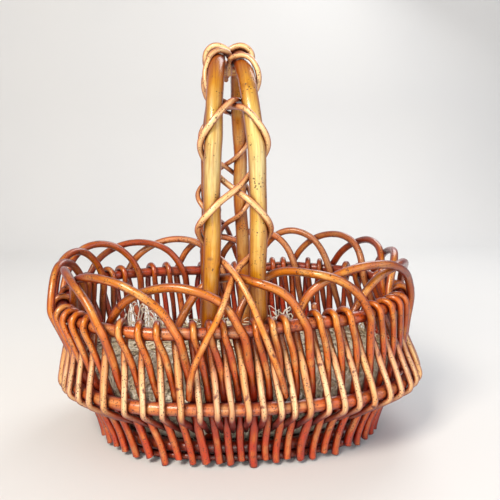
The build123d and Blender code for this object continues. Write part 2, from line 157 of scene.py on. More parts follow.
def innerLeg(index, sizes):
    # from the tip inside the base, out round the belly hoop, and up inside the rim
    tip, top = sizes[:2]
    turn, middle = stations[index], (tip + top) / 2
    reach = clearance(hoops["belly"], middle)
    wrap = cornerReach(reach, stakes["wrapStep"])
    tipTurn = turn + stakes["leans"]["tip"] * pitches[index]
    points = [wallPoint(tipTurn, stakes["tipHeight"], -clearance(hoops["base"], tip))]
    points += [roundHoop(turn, wall["levels"][1], wrap, angle) for angle in stakes["wrapAngles"]]
    points.append(springPoint(turn, reach, -clearance(hoops["rim"], top)))
    return points, [tip, middle, middle, middle, top]


def outerLeg(index, sizes):
    # down outside the rim, in behind the belly hoop, out round the base hoops and cut off at the floor
    top, foot = sizes[1:]
    lowTurn = stations[index] + stakes["leans"]["low"] * pitches[index]
    footTurn = stations[index] + stakes["leans"]["foot"] * pitches[index]
    middle = (top + foot) / 2
    bellyOut, baseOut = -clearance(hoops["belly"], middle), clearance(hoops["base"], foot)
    points = [
        springPoint(lowTurn, bellyOut, clearance(hoops["rim"], top)),
        wallPoint(lowTurn, wall["levels"][1], bellyOut * stakes["legRoom"]),
        wallPoint((lowTurn + footTurn) / 2, wall["levels"][0], baseOut * stakes["legRoom"]),
        wallPoint(footTurn, stakes["footEnd"] * stakes["footEnds"][index % 7], baseOut * stakes["legRoom"]),
    ]
    return points, [top, middle, foot, foot]


def hairpin(first, over, last, sizes):
    # an inner leg, the corners over the rim and an outer leg, as one rod
    inner, innerSizes = innerLeg(first, sizes)
    outer, outerSizes = outerLeg(last, sizes)
    return np.array(inner + over + outer), np.array(innerSizes + [sizes[1]] * len(over) + outerSizes)


def hookRoute(index):
    # close over the rim hoop, drifting sideways as it goes: station + lean * (1 + cos(angle)) / 2
    sizes = stakes["hookSizes"]
    bend = cornerReach(clearance(hoops["rim"], sizes[1]), stakes["foldStep"])
    over = []
    for angle in stakes["foldAngles"]:
        share = (1 + math.cos(math.radians(angle))) / 2
        side = stations[index] + stakes["leans"]["over"] * pitches[index] * share
        over.append(roundHoop(side, rimLevel(side), bend, angle))
    return hairpin(index, over, index, sizes)


def archRoute(number):
    # a bow over two bays: along = (1 - cos(angle)) / 2, out = -reach * cos(angle), height = rise * sin(angle) ^ n
    sizes = stakes["archSizes"]
    first, last = bayStarts[(number - 2) % bayCount], bayStarts[number]
    start, end = stations[first], stations[last] + stakes["leans"]["low"] * pitches[last]
    if end < start:
        end += 1.0
    reach = stakes["archReach"] * (hoops["rim"] + sizes[1]) / 2
    rise = stakes["archRise"] * stakes["archRises"][number] + stakes["springDrop"]
    tuck = -handle["inset"] - clearance(handle["size"], sizes[1], stakes["tuckGap"])
    bend = cornerReach(clearance(hoops["rim"], sizes[1]), stakes["foldStep"])
    over = [roundHoop(start, rimLevel(start), bend, stakes["foldAngles"][0])]
    for angle in stakes["archAngles"]:
        bow = math.radians(angle)
        along = (1 - math.cos(bow)) / 2
        turn = start + (end - start) * along
        out = -reach * math.cos(bow) / math.cos(math.radians(stakes["archAngles"][0]))
        if number in stakes["tucked"]:
            away = abs(along - stakes["tucked"][number])
            out += (tuck - out) * np.interp(away, stakes["tuckAway"], [1.0, 0.0])
        height = rimLevel(turn) - stakes["springDrop"] + rise * math.sin(bow) ** stakes["archFullness"]
        over.append(wallPoint(turn, height, out))
    over.append(roundHoop(end, rimLevel(end), bend, stakes["foldAngles"][-1]))
    return hairpin(first, over, last, sizes)


bowRadius = wall["widths"][2] / 2 - handle["inset"]
bowShoulder = handle["height"] - handle["size"] / 2 - bowRadius


def handleSpread(height):
    # distance between the two handle rods, read between the rim, the shoulder and the top
    heights = [wall["rimHeight"], bowShoulder, handle["height"] - handle["size"] / 2]
    return np.interp(height, heights, [handle["footSpread"], handle["shoulderShare"] * handle["footSpread"],
                                       handle["topSpread"]])


def handleRoute(side):
    # a foot inside the floor, a straight leg, a half round over the top and down again
    bow = np.pi - np.pi * np.arange(1, handle["corners"]) / handle["corners"]
    footReach = wall["widths"][0] / 2 - handle["footInset"]
    legY = np.array([-footReach, -bowRadius, -bowRadius])
    legZ = np.array([handle["footHeight"], wall["levels"][1], bowShoulder])
    y = np.concatenate([legY, bowRadius * np.cos(bow), -legY[::-1]])
    z = np.concatenate([legZ, bowShoulder + bowRadius * np.sin(bow), legZ[::-1]])
    return np.stack([handle["shift"] + side * handleSpread(z) / 2, y, z], -1), np.full(len(z), handle["size"])


# lacing: two thin rods a side that rise from the wall, cross and wind up round the handle rods
lacing = {
    "size": 6.0, "endSize": 5.0,
    "wrapAngles": [50, 92, 134, 180, 226, 268, 310],
    "wrapStep": 46.0,
    "crossings": {1: [0.479, 0.661, 0.86], -1: [0.52, 0.7, 0.874]},
    "depths": {1: [-1.45, -0.47, 0.48], -1: [-0.45, 0.47, -0.48]},
    "lowEnds": {
        (1, 1): [(0.7838, 0.55, 0.3), (0.7822, 0.64, 0.82), (0.7797, 0.73, 1.12),
                 (0.775, 0.85, 1.4), (0.7688, 1.0, 1.45), (0.76, 1.15, 1.3)],
        (-1, 1): [(0.6915, 0.55, 0.3), (0.694, 0.64, 0.82), (0.698, 0.73, 1.12),
                  (0.7066, 0.85, 1.4), (0.7208, 1.0, 1.5), (0.7312, 1.15, 1.6)],
        (1, -1): [(0.2095, 0.55, 0.3), (0.2115, 0.64, 0.82), (0.2145, 0.73, 1.12),
                  (0.22, 0.85, 1.4), (0.2285, 1.0, 1.5), (0.2385, 1.16, 1.6), (0.2425, 1.29, 1.5)],
        (-1, -1): [(0.2965, 0.55, 0.3), (0.2945, 0.64, 0.82), (0.2915, 0.73, 1.12),
                   (0.286, 0.85, 1.4), (0.2775, 1.0, 1.5), (0.2675, 1.16, 1.6), (0.262, 1.29, 1.5)],
    },
    "ends": {1: [0.08, 0.15, 0.23, 0.37, 0.51, 0.6, 0.65], -1: [0.08, 0.15, 0.22, 0.32, 0.42, 0.5, 0.54]},
    "tailDepths": [-0.45, 0.4, 1.15],
    "tailStep": 0.035,
}
binding = {
    "turns": 4, "gap": 0.6, "start": 1.31, "pitch": 0.114, "dip": 0.55,
    "angles": [300, 255, 210, 165, 120, 75], "wrapStep": 45.0,
}


def besideHandle(side, travel, depth, across):
    # travel runs up a handle rod and over the bow, depth is into the bow, across is towards the other rod
    lean = max(travel - bowShoulder, 0) / bowRadius
    height = min(travel, bowShoulder) + bowRadius * math.sin(lean)
    reach = bowRadius - depth
    x = handle["shift"] + side * (handleSpread(height) / 2 - across)
    return [x, -reach * math.cos(lean), min(travel, bowShoulder) + reach * math.sin(lean)]


def roundHandle(side, travel, reach, degrees):
    # point beside a handle rod, at an angle round it from the side that faces the other rod
    bend = math.radians(degrees)
    return besideHandle(side, travel, reach * math.sin(bend), reach * math.cos(bend))


def lacingRoute(startSide, face):
    # up from the wall, then from one handle rod to the other and round it, three times; the back is worked out as
    # a front and mirrored
    reach = clearance(handle["size"], lacing["size"])
    wrap = cornerReach(reach, lacing["wrapStep"])
    low = np.array(lacing["lowEnds"][(startSide, face)])
    route = wallPoint(low[:, 0], low[:, 1] * wall["rimHeight"], low[:, 2] * hoops["rim"]) * [1, face, 1]
    route = [list(point) for point in route]
    crossings, side = lacing["crossings"][face], -startSide
    for step, share in enumerate(crossings):
        travel = share * handle["height"]
        depth = lacing["depths"][startSide][step] * reach
        route.append(besideHandle(side, travel, depth, handleSpread(travel) / 2))
        if step + 1 < len(crossings):
            climb = (crossings[step + 1] - share) * handle["height"] / (len(lacing["wrapAngles"]) + 1)
            climbs = [climb * (count + 1) for count in range(len(lacing["wrapAngles"]))]
        else:
            climbs = [end * bowRadius for end in lacing["ends"][startSide]]
        route += [roundHandle(side, travel + rise, wrap, angle) for angle, rise in zip(lacing["wrapAngles"], climbs)]
        side = -side
    last = crossings[-1] * handle["height"] + lacing["ends"][startSide][-1] * bowRadius
    for step, share in enumerate(lacing["tailDepths"]):
        travel = last + (step + 1) * lacing["tailStep"] * bowRadius
        route.append(besideHandle(side, travel, share * reach, handle["topSpread"] / 2))
    return np.array(route) * [1, face, 1], np.linspace(lacing["size"], lacing["endSize"], len(route))


def bindingRoute():
    # a coil round both handle rods, drawn in between them on the outside
    reach = clearance(handle["size"], lacing["size"], binding["gap"])
    wrap = cornerReach(reach, binding["wrapStep"])
    ring = [(0, 0)] + [(-1, a) for a in binding["angles"]] + [(1, a) for a in reversed(binding["angles"])]
    route = []
    for step in range(binding["turns"] * len(ring) + 1):
        side, angle = ring[step % len(ring)]
        travel = bowShoulder + (binding["start"] + binding["pitch"] * step / len(ring)) * bowRadius
        if side == 0:
            route.append(besideHandle(1, travel, -binding["dip"] * reach, handle["topSpread"] / 2))
        else:
            route.append(roundHandle(side, travel, wrap, angle))
    return np.array(route), np.full(len(route), lacing["size"])


def unit(vectors):
    # vectors brought to length 1
    return vectors / np.linalg.norm(vectors, axis=-1)[..., None]


def smoothLine(points, sizes, step, samples=24):
    # quadratic B-spline with the corners as control points, read again at even steps of its length
    starts = np.vstack([points[:1], (points[1:-2] + points[2:-1]) / 2])
    ends = np.vstack([(points[1:-2] + points[2:-1]) / 2, points[-1:]])
    t = np.linspace(0, 1, samples, endpoint=False)[:, None, None]
    line = (1 - t) ** 2 * starts + 2 * t * (1 - t) * points[1:-1] + t ** 2 * ends
    line = np.vstack([line.transpose(1, 0, 2).reshape(-1, 3), points[-1:]])
    places = (np.arange(len(points) - 2)[:, None] + t[:, 0, 0][None]).ravel() + 0.5
    places = np.append(places, len(points) - 1)
    places[0] = 0
    run = np.append(0, np.cumsum(np.linalg.norm(np.diff(line, axis=0), axis=1)))
    even = np.linspace(0, run[-1], max(int(run[-1] / step), 4))
    middle = np.stack([np.interp(even, run, line[:, axis]) for axis in range(3)], -1)
    size = np.interp(np.interp(even, run, places), np.arange(len(sizes)), sizes)
    return middle, size, even


def wander(run, length, amount):
    # sum of sines of one wavelength, its half and its third, with random phases, brought to about 1 by 1.4
    phases = random.uniform(0, fullTurn, 3)
    waves = [np.sin(fullTurn * run / length * (k + 1) + phases[k]) / (k + 1) for k in range(3)]
    return amount * np.sum(waves, axis=0) / 1.4


def tubeFaces(rows, count):
    # a skin of rings: point j of ring i, its neighbour, and the two above them
    i, j = np.meshgrid(np.arange(rows - 1), np.arange(count), indexing="ij")
    here, beside = i * count + j, i * count + (j + 1) % count
    return np.stack([here, beside, beside + count, here + count], -1).reshape(-1, 4)


def capFaces(rows, count):
    # fans that close a skin of rings round two more points, one at each end
    k, nextK = np.arange(count), (np.arange(count) + 1) % count
    top, end = (rows - 1) * count, np.full(count, rows * count)
    return np.vstack([np.stack([end, nextK, k], -1), np.stack([end + 1, top + k, top + nextK], -1)])


# how a rod's surface departs from a round tube, lengths in millimetres and the rest as shares of its radius
rodForm = {
    "easeIn": 25.0, "upWave": 1.3, "thickWave": 90.0, "thickness": 0.025, "oval": 0.02, "threeSided": 0.012,
    "twistLength": 40, "budFromEnd": 10, "budLength": 2.6, "budTurn": 0.55, "budHeight": 0.07, "fray": 0.7,
    "rims": ((0.97, 0.25), (0.86, 0.5)), "grainRange": 900,
}


def rodSkin(points, sizes, look):
    # round tube along the smooth line: line + radius(along, round) * (cos * side + sin * up), with bud swellings
    middle, size, run = smoothLine(points, sizes * look["plump"], look["step"])
    ease = np.clip(np.minimum(run, run[-1] - run) / rodForm["easeIn"], 0, 1)
    tangent = unit(np.gradient(middle, axis=0))
    side = np.empty_like(tangent)
    carried = np.cross(tangent[0], [0.31, 0.52, 0.79])  # any direction that no rod starts in
    for k, heading in enumerate(tangent):
        carried = unit(carried - heading * carried.dot(heading))
        side[k] = carried
    up = np.cross(tangent, side)
    middle = middle + side * (wander(run, look["wave"], look["stray"]) * ease)[:, None]
    middle = middle + up * (wander(run, look["wave"] * rodForm["upWave"], look["stray"]) * ease)[:, None]
    count, last = look["sides"], run[-1]
    bearing = fullTurn * np.arange(count) / count
    radius = size[:, None] / 2 * (1 + wander(run, rodForm["thickWave"], rodForm["thickness"])[:, None])
    radius = radius * (1 + rodForm["oval"] * np.cos(2 * bearing + random.uniform(0, 6))
                       + rodForm["threeSided"] * np.cos(3 * bearing + run[:, None] / rodForm["twistLength"]))
    buds = np.zeros((len(run), count))
    for _ in range(max(1, int(last / look["budEvery"]))):
        fromEnd = rodForm["budFromEnd"]
        spot, facing = random.uniform(fromEnd, max(last - fromEnd, fromEnd + 1)), random.uniform(0, fullTurn)
        turned = (bearing - facing + np.pi) % fullTurn - np.pi
        away = ((run[:, None] - spot) / rodForm["budLength"]) ** 2 + (turned / rodForm["budTurn"]) ** 2
        buds = np.maximum(buds, np.exp(-away))
    radius = radius + buds * size[:, None] / 2 * rodForm["budHeight"]
    # a foot is cut off at a slant, so its last rings rise on one side and are a little split
    rise, fray = np.zeros(count), np.zeros(count)
    if look["slant"]:
        rise = (1 + np.cos(bearing - random.uniform(0, fullTurn))) * random.uniform(*look["slant"])
        fray = random.uniform(0, rodForm["fray"], count)
    # the ends: two rings that turn in over a worn edge, then one point
    rims = []
    for end, sign in ((0, -1), (-1, 1)):
        for shrink, on in rodForm["rims"]:
            rims.append((middle[end] + tangent[end] * sign * on, side[end], up[end], radius[end] * shrink))
    middles, sides, ups, radii = [
        np.vstack([rims[1][k], rims[0][k], along, rims[2][k], rims[3][k]])
        for k, along in enumerate((middle, side, up, radius))]
    runs = np.concatenate([[run[0]] * 2, run, [last] * 2])
    rings = middles[:, None] + radii[:, :, None] * (
        np.cos(bearing)[:, None] * sides[:, None] + np.sin(bearing)[:, None] * ups[:, None])
    rings[-3:] = rings[-3:] - tangent[-1] * (rise + fray)[None, :, None]
    tip = middles[-1] - tangent[-1] * rise.mean()
    verts = np.vstack([rings.reshape(-1, 3), middles[0], tip])
    offset = random.uniform(0, rodForm["grainRange"])
    lengthwise = np.repeat(runs[:, None], count, 1) + offset
    grain = np.stack([radii * np.cos(bearing), radii * np.sin(bearing), lengthwise], -1)
    grain = np.vstack([grain.reshape(-1, 3), [[0, 0, runs[0] + offset], [0, 0, runs[-1] + offset]]]) * mm
    along = np.append(np.repeat(runs / runs[-1], count), [0, 1])
    budSpots = np.append(np.vstack([buds[:1], buds[:1], buds, buds[-1:], buds[-1:]]).ravel(), [0, 0])
    cut = np.zeros((len(runs), count))
    cut[0], cut[-1] = 1, 1
    cut = np.append(cut.ravel(), [1, 1])
    tone = np.full(len(verts), random.uniform(0, 1))
    return {"verts": verts, "quads": tubeFaces(len(runs), count), "tris": capFaces(len(runs), count),
            "grain": grain, "along": along, "bud": budSpots, "cut": cut, "tone": tone}


def putMesh(name, skins, material):
    # joins the tubes of one piece into one mesh, millimetres to metres, with its attributes
    starts = np.cumsum([0] + [len(skin["verts"]) for skin in skins[:-1]])
    verts = np.vstack([skin["verts"] for skin in skins]) * mm
    quads = np.vstack([skin["quads"] + start for skin, start in zip(skins, starts)])
    tris = np.vstack([skin["tris"] + start for skin, start in zip(skins, starts)])
    mesh = bpy.data.meshes.new(name)
    mesh.vertices.add(len(verts))
    mesh.vertices.foreach_set("co", verts.ravel())
    mesh.loops.add(quads.size + tris.size)
    mesh.loops.foreach_set("vertex_index", np.concatenate([quads.ravel(), tris.ravel()]))
    mesh.polygons.add(len(quads) + len(tris))
    mesh.polygons.foreach_set("loop_start", np.concatenate(
        [np.arange(len(quads)) * 4, quads.size + np.arange(len(tris)) * 3]))
    mesh.update(calc_edges=True)
    mesh.validate()
    for key in ("along", "bud", "cut", "tone"):
        if key in skins[0]:
            mesh.attributes.new(key, "FLOAT", "POINT").data.foreach_set(
                "value", np.concatenate([skin[key] for skin in skins]))
    if "grain" in skins[0]:
        mesh.attributes.new("grain", "FLOAT_VECTOR", "POINT").data.foreach_set(
            "vector", np.vstack([skin["grain"] for skin in skins]).ravel())
    mesh.polygons.foreach_set("use_smooth", np.ones(len(quads) + len(tris), bool))
    mesh.materials.append(material)
    piece = bpy.data.objects.new(name, mesh)
    bpy.context.scene.collection.objects.link(piece)
    return piece


def linearColour(text, alpha=1.0):
    # sRGB hex to linear: below 0.04045 divided by 12.92, else ((c + 0.055) / 1.055) ^ 2.4
    parts = np.array([int(text[k:k + 2], 16) / 255 for k in (0, 2, 4)])
    parts = np.where(parts <= 0.04045, parts / 12.92, ((parts + 0.055) / 1.055) ** 2.4)
    return (*parts.tolist(), alpha)


def addNode(tree, kind, inputs=None, settings=None):
    # inputs hold values or the sockets to link from; settings are the node's own properties
    node = tree.nodes.new("ShaderNode" + kind)
    for key, value in (settings or {}).items():
        setattr(node, key, value)
    for key, value in (inputs or {}).items():
        if isinstance(value, bpy.types.NodeSocket):
            tree.links.new(value, node.inputs[key])
        else:
            node.inputs[key].default_value = value
    return node


def tint(tree, kind, colour, shade, value, limits=(0.0, 1.0), depths=(0.0, 1.0)):
    # lays a shade over a colour: its share goes from one depth to the other as the value passes its limits
    share = addNode(tree, "MapRange", {
        "Value": value, "From Min": limits[0], "From Max": limits[1],
        "To Min": depths[0], "To Max": depths[1]}).outputs["Result"]
    return addNode(tree, "Mix", {0: share, 6: colour, 7: linearColour(shade)}, {
        "data_type": "RGBA", "blend_type": kind}).outputs[2]


def startMaterial(name):
    # a material with an empty tree of nodes
    material = bpy.data.materials.new(name)
    material.use_nodes = True
    material.node_tree.nodes.clear()
    return material, material.node_tree


def finishSurface(tree, finish):
    # every surface here is one principled shader, led to the output
    shader = addNode(tree, "BsdfPrincipled", finish).outputs["BSDF"]
    addNode(tree, "OutputMaterial", {"Surface": shader})


# what each willow starts from: sizes of its marks in millimetres, depths as shares; its edge, inside and shades
# entries are painted shade
willow = {
    "streakWidth": 1.1, "streakDepth": 0.5, "streakColour": "B4713C",
    "blotchSize": 19.0, "paleDepth": 0.55, "paleColour": "F6DCA8",
    "speckSpacing": 2.4, "speckFrom": 0.4, "speckColour": "3E1406",
    "knotSize": 7.0, "knotDepth": 0.8, "knotColour": "8A3A18",
    "richness": 1.15, "cutColour": "B98C62", "edgeDepth": 1.0, "edgeColour": "98280A",
    "insideDepth": 0.8, "insideShadeColour": "D2705C", "roughness": 0.36, "varnish": 0.5,
    "shades": [(90.0, 0.08, 0.58, "C04426"), (11.0, 0.15, 0.72, "6E1C0C")],
}
# between which values of its pattern each mark on the willow comes up, and how strongly; lengths in millimetres; edge
# and inside set where painted shade comes up
marks = {
    "pale": (0.42, 0.68), "streak": (0.42, 0.66), "knot": (0.66, 0.74), "edge": (0.05, 0.7), "inside": (0.0, 0.7),
    "bud": (0.4, 0.95), "budDepth": 0.8, "speck": (0.16, 0.34), "speckRise": 0.1, "speckDepth": 0.95,
    "hue": (0.493, 0.51), "saturation": (1.22, 1.08), "value": (0.84, 1.04), "gloss": (0.3, 0.7),
    "glossSpread": (-0.07, 0.08), "stretch": 0.06, "jitterSize": 1.3, "jitter": (1.8, 1.8, 1.1),
    "bump": 0.5, "bumpHeight": 0.3,
}


def peeledWillow(name, alongColours, **changes):
    # peeled willow: smooth wood with long faint grain, dark bud scars and lenticels, painted red-brown shade in the
    # crevices, on faces turned inward and towards the edges, and a satin varnish that leaves crisp pale highlights
    look = {**willow, **changes}
    material, tree = startMaterial(name)
    grain, along, tone, bud, cut = [
        addNode(tree, "Attribute", None, {"attribute_name": key}).outputs["Vector" if key == "grain" else "Fac"]
        for key in ("grain", "along", "tone", "bud", "cut")]
    stretched = addNode(tree, "Mapping", {
        "Vector": grain, "Scale": (1, 1, marks["stretch"])}).outputs["Vector"]
    streak = addNode(tree, "TexNoise", {
        "Vector": stretched, "Scale": 1 / (look["streakWidth"] * mm), "Detail": 5, "Roughness": 0.62}).outputs["Fac"]
    clouds = [
        addNode(tree, "TexNoise", {
            "Vector": grain, "Scale": 1 / (size * mm), "Detail": detail}).outputs
        for size, detail in ((look["blotchSize"], 3), (look["knotSize"], 2), (marks["jitterSize"], 2))]
    blotch, knot, jitter = clouds[0]["Fac"], clouds[1]["Fac"], clouds[2]["Color"]
    nudged = addNode(tree, "VectorMath", {
        0: jitter, 1: [amount * mm for amount in marks["jitter"]], 2: grain},
        {"operation": "MULTIPLY_ADD"}).outputs["Vector"]
    dots = addNode(tree, "TexVoronoi", {
        "Vector": nudged, "Scale": 1 / (look["speckSpacing"] * mm)}).outputs["Distance"]
    # what each pattern is read as, from one value to the other between its limits
    reads = [
        (tone, (0, 1), marks["hue"]), (tone, (0, 1), marks["saturation"]), (tone, (0, 1), marks["value"]),
        (dots, marks["speck"], (1.0, 0.0)),
        (knot, (look["speckFrom"], look["speckFrom"] + marks["speckRise"]), (0.0, 1.0)),
        (streak, marks["gloss"], [look["roughness"] + spread for spread in marks["glossSpread"]]),
    ]
    hue, saturation, value, dotted, clustered, roughness = [
        addNode(tree, "MapRange", {
            "Value": pattern, "From Min": limits[0], "From Max": limits[1],
            "To Min": results[0], "To Max": results[1]}).outputs["Result"]
        for pattern, limits, results in reads]
    specks = addNode(tree, "Math", {0: dotted, 1: clustered}, {"operation": "MULTIPLY"}).outputs["Value"]
    ramp = addNode(tree, "ValToRGB", {"Fac": along})
    while len(ramp.color_ramp.elements) < len(alongColours):
        ramp.color_ramp.elements.new(0.5)
    for element, (spot, shade) in zip(ramp.color_ramp.elements, alongColours):
        element.position = spot
        element.color = linearColour(shade)
    colour = ramp.outputs["Color"]
    colour = tint(tree, "MIX", colour, look["paleColour"], blotch, marks["pale"], (0.0, look["paleDepth"]))
    colour = tint(tree, "MULTIPLY", colour, look["streakColour"], streak, marks["streak"], (0.0, look["streakDepth"]))
    # each rod differs a little in hue, saturation and value
    colour = addNode(tree, "HueSaturation", {
        "Hue": hue, "Saturation": saturation, "Value": value, "Color": colour}).outputs["Color"]
    colour = addNode(tree, "Gamma", {"Color": colour, "Gamma": look["richness"]}).outputs["Color"]
    colour = tint(tree, "MULTIPLY", colour, look["speckColour"], specks, (0, 1), (0.0, marks["speckDepth"]))
    colour = tint(tree, "MULTIPLY", colour, look["knotColour"], knot, marks["knot"], (0.0, look["knotDepth"]))
    colour = tint(tree, "MIX", colour, look["speckColour"], bud, marks["bud"], (0.0, marks["budDepth"]))
    colour = tint(tree, "MIX", colour, look["cutColour"], cut)
    # painted shade: the colour darkens towards each rod's edges as seen, where its faces turn away
    edge = addNode(tree, "LayerWeight", {"Blend": 0.5}).outputs["Facing"]
    colour = tint(tree, "MULTIPLY", colour, look["edgeColour"], edge, marks["edge"], (0.0, look["edgeDepth"]))
    # faces turned to the middle of the basket get painted crimson shade: normal . (-position level) / length
    where = addNode(tree, "TexCoord").outputs
    level = addNode(tree, "VectorMath", {0: where["Object"], 1: (-1, -1, 0)}, {"operation": "MULTIPLY"})
    inwards = addNode(tree, "VectorMath", {0: level.outputs["Vector"]}, {"operation": "NORMALIZE"})
    facing = addNode(tree, "VectorMath", {0: where["Normal"], 1: inwards.outputs["Vector"]}, {
        "operation": "DOT_PRODUCT"}).outputs["Value"]
    colour = tint(tree, "MULTIPLY", colour, look["insideShadeColour"], facing, marks["inside"], (0.0, look["insideDepth"]))
    # two reaches of painted shade: the inside of the basket turns crimson, tight crevices turn nearly black-red
    for reach, low, high, shade in look["shades"]:
        shelter = addNode(tree, "AmbientOcclusion", {"Distance": reach * mm}, {"samples": 6}).outputs["AO"]
        colour = tint(tree, "MULTIPLY", colour, shade, shelter, (low, high), (1.0, 0.0))
    height = addNode(tree, "Math", {0: streak, 1: specks}, {"operation": "SUBTRACT"}).outputs["Value"]
    bump = addNode(tree, "Bump", {
        "Strength": marks["bump"], "Distance": marks["bumpHeight"] * mm, "Height": height}).outputs["Normal"]
    finishSurface(tree, {"Base Color": colour, "Roughness": roughness, "IOR": 1.5, "Coat Weight": look["varnish"],
                         "Coat Roughness": 0.16, "Normal": bump})
    return material


# the colours run from a rod's tip, inside the wall, to its foot, outside it
# partly the willow's own colour, partly painted light and shade: the cream band on the inner legs, where they pass
# out round the belly hoop, is painted light, and the dark red tips and redder feet low in the basket are painted
# shade
archWillow = peeledWillow("peeledWillowArch", [
    (0.0, "8E2810"), (0.07, "C4501E"), (0.12, "F6CA9C"), (0.22, "F4C898"), (0.3, "DE9048"), (0.45, "DE943C"),
    (0.6, "DA8A32"), (0.78, "E07428"), (0.86, "EA6C2C"), (1.0, "E65C26")])
# the back wall's arches take a pinker, redder copy of these colours, painted shade for the inside of the back wall,
# with less of the inward-facing shade
backArchWillow = peeledWillow("peeledWillowBackArch", [
    (0.0, "8E2810"), (0.07, "C8562C"), (0.13, "F0C4A0"), (0.3, "E4A67C"), (0.45, "E2A27A"), (0.6, "DE965E"),
    (0.78, "D86E34"), (0.86, "DC5A24"), (1.0, "D6441A")], paleDepth=0.4, insideDepth=0.2)
hookWillow = peeledWillow("peeledWillowHook", [
    (0.0, "7C200E"), (0.09, "C04218"), (0.15, "F8D2AC"), (0.24, "FADCB8"), (0.37, "DC8E5C"), (0.45, "E4994C"),
    (0.58, "DA762A"), (0.72, "E06A28"), (0.82, "EA6C2C"), (1.0, "E65C26")])
hoopWillow = peeledWillow("peeledWillowHoop", [
    (0.0, "DC7C54"), (0.3, "E49060"), (0.6, "D87450"), (0.8, "E49464"), (1.0, "DC7C54")],
    streakWidth=1.6, paleDepth=0.4)
# the pale band high on each leg is a painted highlight; the large pale blotches are partly the wood's own paler
# patches, partly painted highlight
handleWillow = peeledWillow("peeledWillowHandle", [
    (0.0, "B8602C"), (0.12, "C88634"), (0.2, "D49A40"), (0.26, "DCB060"), (0.31, "E6D8A4"), (0.355, "E0C27C"),
    (0.4, "DAA84C"), (0.5, "D8A248"), (0.6, "C8843A"), (0.8, "BC702C"), (1.0, "B05A28")],
    streakWidth=2.2, blotchSize=34.0, knotSize=12.0, knotDepth=0.3, speckSpacing=3.2, speckFrom=0.52,
    edgeDepth=0.95, edgeColour="A85418", paleDepth=0.4, paleColour="E6DAA6", insideDepth=0.0,
    shades=[(60.0, 0.1, 0.5, "D0603A"), (11.0, 0.15, 0.7, "8A3A18")])
pale = {"paleDepth": 0.45, "paleColour": "F4DEB4", "edgeColour": "B4501E"}
lacingWillow = peeledWillow("peeledWillowLacing", [
    (0.0, "D0702E"), (0.16, "E69A52"), (0.4, "F6D0A0"), (0.7, "F6D6A8"), (1.0, "F4D8AC")], **pale, insideDepth=0.3)
bindingWillow = peeledWillow("peeledWillowBinding", [
    (0.0, "F6DCB0"), (0.5, "F0CC98"), (1.0, "E8B880")], **pale, insideDepth=0.0)
# the floor and cross rods are the same willow painted darker, for the shade they lie in under the paper
floorWillow = peeledWillow("peeledWillowFloor", [(0.0, "A85A38"), (0.5, "B46240"), (1.0, "A85A38")])
greyWillow = peeledWillow("peeledWillowGrey", [(0.0, "A8806A"), (0.5, "B48C78"), (1.0, "A8806A")])
print("basket: willow materials made")

# how fine and how crooked each kind of rod is; all but sides and plump in millimetres
tubeColumns = ("step", "sides", "wave", "stray", "budEvery", "plump", "slant")
tubeRows = {
    "hook": (2.8, 14, 120.0, 0.6, 45.0, 1.19, (0.3, 1.3)),
    "arch": (3.0, 16, 150.0, 0.9, 45.0, 1.05, (0.4, 1.6)),
    "hoop": (3.6, 20, 110.0, 0.35, 90.0, 1.0, None),
    "handle": (4.0, 32, 260.0, 1.2, 70.0, 1.0, None),
    "lacing": (2.4, 14, 90.0, 0.35, 50.0, 1.16, None),
    "floor": (6.0, 14, 200.0, 0.25, 120.0, 1.0, None),
}
tubes = {kind: dict(zip(tubeColumns, row)) for kind, row in tubeRows.items()}


def addPiece(name, skins, material, node=None):
    # the basket is one rigid body; a piece stands for a CAD node where one is named
    piece = putMesh(name, skins, material)
    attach(piece, "root")
    if node:
        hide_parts(node)


backBays = range(3, 8)
for number in range(bayCount):
    points, sizes = archRoute(number)
    material = backArchWillow if number in backBays else archWillow
    addPiece("archRod%02d" % (number + 1), [rodSkin(points, sizes, tubes["arch"])], material,
             "arch_%02d" % (number + 1))
    hooks = range(bayStarts[number] + 1, bayStarts[number] + 1 + len(stakes["hooks"][number]))
    addPiece("hookRods%02d" % (number + 1), [rodSkin(*hookRoute(index), tubes["hook"]) for index in hooks],
             hookWillow, "hooks_bay_%02d" % (number + 1))
print("basket: wall rods made")

# hoops: height or None for the rim's own line, size at each end, turn of the joint and half of its opening
rings = [
    ("rimHoop", "rim_hoop", None, hoops["rim"], hoops["rim"], 0.2375, 0.0004),
    ("bellyHoop", "belly_hoop", wall["levels"][1], hoops["belly"], hoops["belly"], 0.2385, 0.0004),
    ("baseHoop", "base_hoop", wall["levels"][0], hoops["base"], hoops["base"], 0.27, 0.0004),
    ("footHoop", "foot_hoop", hoops["footHeight"], hoops["foot"], hoops["footTip"], 0.7165, 0.0078),
]


def hoopRoute(height, startSize, endSize, joint, opening, corners=120):
    # a ring that starts and ends at its butt joint
    turns = joint + opening + (1 - 2 * opening) * np.arange(corners + 1) / corners
    heights = rimLevel(turns) if height is None else np.full(len(turns), height)
    return wallPoint(turns, heights, 0.0), np.linspace(startSize, endSize, len(turns))


